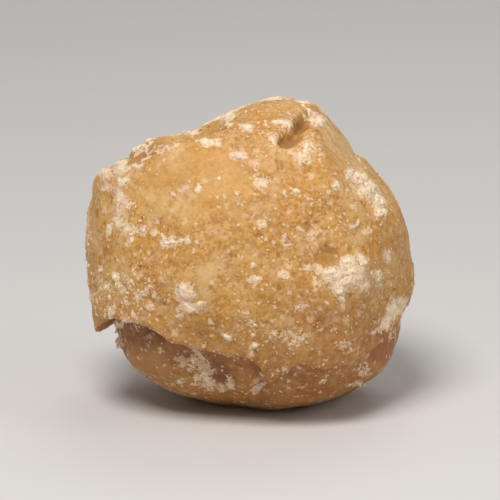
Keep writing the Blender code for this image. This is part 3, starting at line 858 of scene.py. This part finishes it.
def body_colour(tree, place, bare, middle, small):
    """Set cane sugar: golden and tan clouds, amber between the grains, paler where a bloom has dried."""
    broad = grained(tree, place, 9.0, 2)
    bloom = grained(tree, place, 1.5, 5, 0.65)
    _, kind, _ = cells(tree, wandering(tree, place, 0.6, 0.12), 0.42)
    _, coarse, _ = cells(tree, wandering(tree, place, 1.2, 0.3), 0.95)
    colour = mixed(tree, ranged(tree, broad, 0.38, 0.62), GOLD, TAN)
    colour = mixed(tree, ranged(tree, middle, 0.50, 0.68, 0.0, 0.7), colour, AMBER)
    colour = mixed(tree, ranged(tree, middle, 0.48, 0.34, 0.0, 0.35), colour, HONEY)
    layers = (      # a pattern, where it leaves nothing and most of a colour, how much, and the colour
        (coarse, 0.40, 0.10, 0.22, AMBER), (coarse, 0.70, 0.95, 0.25, HONEY),
        (bloom, 0.50, 0.66, 0.75, BLOOM), (kind, 0.45, 0.10, 0.45, AMBER),
        (kind, 0.65, 0.95, 0.50, HONEY), (small, 0.44, 0.32, 0.85, AMBER),
    )
    for pattern, nothing, full, most, layer in layers:
        share = times(tree, ranged(tree, pattern, nothing, full, 0.0, most), bare)
        colour = mixed(tree, share, colour, layer)
    return colour


def jaggery_skin():
    """The skin: set sugar under its coatings, painted shade and a painted highlight, then powder and crust on
    top, with their relief.
    """
    material, tree, shader = new_material("jaggery_skin")
    place = add_node(tree, "ShaderNodeTexCoord").outputs["Object"]
    crust, dust, wax, grain, film_and_highlight, hollow, shade, stain_and_shade, ridge = (
        add_node(tree, "ShaderNodeAttribute", attribute_name=name).outputs["Fac"]
        for name in ("crust", "dust", "wax", "grain", "film_and_highlight", "hollow", "shade", "stain_and_shade", "ridge"))
    bare = times(tree, wax, -0.3, times(tree, hollow, -1.2, 1.0), clamp=True)

    middle = grained(tree, place, 3.0, 4, 0.6)
    small = grained(tree, place, 0.9, 4, 0.65)
    tiny = grained(tree, place, 0.35, 3, 0.6)
    ragged = times(tree, maths(tree, "SUBTRACT", tiny, 0.5), 1.4)
    ragged = times(tree, maths(tree, "SUBTRACT", small, 0.5), 1.6, ragged)

    colour = body_colour(tree, place, bare, middle, small)
    colour = mixed(tree, times(tree, wax, 0.4), colour, WAXY)
    # greyish film, and a painted highlight on the bald oval
    film_and_highlight_share = times(tree, film_and_highlight, ranged(tree, small, 0.36, 0.62, 0.1, 0.85))
    colour = mixed(tree, film_and_highlight_share, colour, FILM_AND_HIGHLIGHT_GREY)
    # stains and painted shade, in brown
    stain_and_shade_share = times(tree, stain_and_shade, ranged(tree, small, 0.40, 0.62, 1.0, 0.68))
    colour = mixed(tree, stain_and_shade_share, colour, STAIN_AND_SHADE_BROWN)
    # painted shade under the lip, in purple brown
    shaded = times(tree, shade, ranged(tree, middle, 0.38, 0.62, 1.0, 0.55))
    colour = mixed(tree, shaded, colour, UNDER_LIP_SHADE)
    # painted shade inside the pits
    colour = mixed(tree, hollow, colour, PIT_SHADE)

    density = times(tree, grain, 0.40, times(tree, crust, 0.8, 0.16))
    density = times(tree, ridge, 0.55, density)
    density = times(tree, density, bare)
    torn = wandering(tree, place, 0.5, 0.16)
    few = times(tree, bare, 0.6)
    blurs = sprinkled(tree, wandering(tree, place, 1.0, 0.4), 1.7, few, 0.45, tiny, 0.35)
    dots = maths(tree, "MAXIMUM", sprinkled(tree, torn, 1.15, density, 0.34, tiny, 0.10),
                 sprinkled(tree, torn, 0.6, density, 0.42, tiny, 0.10))
    powder = maths(tree, "MAXIMUM", crust, times(tree, maths(tree, "MAXIMUM", dust, ridge), 0.62))
    away, kind, _ = cells(tree, torn, 0.34)
    powdered = times(tree, powder, 1.5, times(tree, kind, -1.0))
    powdered = times(tree, ranged(tree, powdered, 0.02, 0.12), ranged(tree, powder, 0.12, 0.4))
    solid = ranged(tree, maths(tree, "ADD", crust, ragged), 0.52, 0.66)
    pale = mixed(tree, ranged(tree, middle, 0.42, 0.60), CREAM, PINK)
    pale = mixed(tree, ranged(tree, tiny, 0.52, 0.72, 0.0, 0.55), pale, HONEY)
    colour = mixed(tree, times(tree, blurs, 0.5), colour, pale)
    colour = mixed(tree, times(tree, dots, 0.65), colour, pale)
    colour = mixed(tree, times(tree, powdered, 0.72), colour, pale)
    colour = mixed(tree, solid, colour, pale)

    rough = times(tree, wax, -0.08, 0.58)
    rough = times(tree, solid, 0.3, rough)
    rough = times(tree, maths(tree, "SUBTRACT", small, 0.5), 0.3, rough, clamp=True)

    height = times(tree, tiny, 0.5, times(tree, small, 0.9))
    height = times(tree, kind, 0.2, height)
    height = times(tree, height, bare)
    height = times(tree, dots, 0.5, height)
    height = times(tree, powdered, times(tree, away, -0.5, 0.5), height)
    height = times(tree, solid, 0.5, height)
    bump = add_node(tree, "ShaderNodeBump", {"Height": height, "Strength": 0.9, "Distance": 0.2 * MM})
    set_surface(tree, shader, colour, rough, 0.45, 0.35, bump)
    return material


def crust_material():
    """Chalky dried sugar, cream and pinkish, with honey showing through where it is thin."""
    material, tree, shader = new_material("dry_crust")
    place = add_node(tree, "ShaderNodeTexCoord").outputs["Object"]
    broad = grained(tree, place, 3.0, 3, 0.6)
    small = grained(tree, place, 0.7, 3, 0.6)
    away, kind, _ = cells(tree, wandering(tree, place, 0.5, 0.1), 0.36)
    colour = mixed(tree, ranged(tree, broad, 0.44, 0.62), CREAM, PINK)
    colour = mixed(tree, ranged(tree, small, 0.54, 0.74, 0.0, 0.55), colour, HONEY)
    colour = mixed(tree, ranged(tree, kind, 0.20, 0.05, 0.0, 0.6), colour, HONEY)
    height = times(tree, away, -0.7, times(tree, small, 1.0, kind))
    bump = add_node(tree, "ShaderNodeBump", {"Height": height, "Strength": 0.8, "Distance": 0.16 * MM})
    rough = ranged(tree, small, 0.3, 0.7, 0.9, 0.7)
    set_surface(tree, shader, colour, rough, 0.05, 0.35, bump)
    return material


def stone_material(name, dark, light, roughness, specular):
    """Grains or crumbs, each in its own shade between two colours."""
    material, tree, shader = new_material(name)
    place = add_node(tree, "ShaderNodeTexCoord").outputs["Object"]
    tint = add_node(tree, "ShaderNodeAttribute", attribute_name="tint").outputs["Fac"]
    speckle = maths(tree, "SUBTRACT", grained(tree, place, 0.4, 2), 0.5)
    colour = mixed(tree, times(tree, speckle, 1.2, tint, clamp=True), dark, light)
    rough = times(tree, speckle, 0.4, roughness)
    set_surface(tree, shader, colour, rough, 0.1, specular)
    return material


def plain_material(name, colour, roughness):
    material, tree, shader = new_material(name)
    set_inputs(tree, shader, {"Base Color": colour, "Roughness": roughness})
    return material


# -------------------------------- floor, light and camera
def make_floor():
    corners = FLOOR_REACH * np.array([(-1, -1, 0), (1, -1, 0), (1, 1, 0), (-1, 1, 0)])
    material = plain_material("floor_pale", (0.66, 0.65, 0.64, 1), 0.8)
    mesh_of("floor", corners, np.array([(0, 1, 2, 3)]), material)


def aimed(name, data, azimuth, elevation, distance, target):
    """A light or camera that looks at the target from that side and distance, in metres."""
    outward = Vector(view_axes(azimuth, elevation)[2])
    holder = bpy.data.objects.new(name, data)
    holder.location = outward * distance + target
    holder.rotation_mode = "QUATERNION"
    holder.rotation_quaternion = outward.to_track_quat("Z", "Y")
    bpy.context.scene.collection.objects.link(holder)
    return holder


def make_light(name, azimuth, elevation, distance, size, watts, colour):
    lamp = bpy.data.lights.new(name, "AREA")
    lamp.shape = "DISK"
    lamp.size = size
    lamp.energy = watts
    lamp.color = colour
    aimed(name, lamp, azimuth, elevation, distance, Vector((0, 0, CENTRE_HEIGHT * MM)))


def make_studio():
    world = bpy.data.worlds.new("studio")
    world.use_nodes = True
    tree = world.node_tree
    set_inputs(tree, tree.nodes["Background"], {"Color": (0.97, 0.97, 0.98, 1.0), "Strength": 0.24})
    bpy.context.scene.world = world
    for light in LIGHTS:
        make_light(*light)
    bpy.context.scene.view_settings.view_transform = "Standard"


def make_camera():
    camera = bpy.data.cameras.new("camera")
    camera.lens = 400
    camera.sensor_width = 36
    camera.clip_start = 0.01
    camera.clip_end = 20
    low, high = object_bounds()
    bpy.context.scene.camera = aimed("camera", camera, *FACE, CAMERA_DISTANCE, (low + high) / 2)


# -------------------------------- the scene
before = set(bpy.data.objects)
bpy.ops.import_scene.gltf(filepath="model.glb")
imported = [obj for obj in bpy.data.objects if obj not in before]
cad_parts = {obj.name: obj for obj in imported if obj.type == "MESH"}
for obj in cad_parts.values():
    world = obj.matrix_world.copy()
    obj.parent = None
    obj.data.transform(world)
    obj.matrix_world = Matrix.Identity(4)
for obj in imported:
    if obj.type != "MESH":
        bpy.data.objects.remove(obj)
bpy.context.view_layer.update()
make_camera()
CENTRE = lump_centre()
CRUST = all_crust()

directions, faces, places = cube_patches(SKIN_GRID)
skin, coat = skin_points(directions)
lump = make_skin(faces, places, skin, coat, jaggery_skin())
flakes = make_flakes(directions, faces, places, coat, crust_material())
grains = scatter("sugar_grains", lump, grain_weight(skin, coat), GRAINS, GRAIN_SIZES, unit_ball(1),
                 GRAIN_SHAPE, 83, stone_material("sugar_grain", HONEY, PINK, 0.45, 0.45))
crumbs = scatter("jaggery_crumbs", lump, crumb_weight(skin, coat), CRUMBS, CRUMB_SIZES, unit_ball(2),
                 CRUMB_SHAPE, 84, stone_material("jaggery_crumb", TAN, BLOOM, 0.65, 0.35))
for piece in (lump, flakes, grains, crumbs):
    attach(piece, BODY)
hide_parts(NODE)

make_floor()
make_studio()
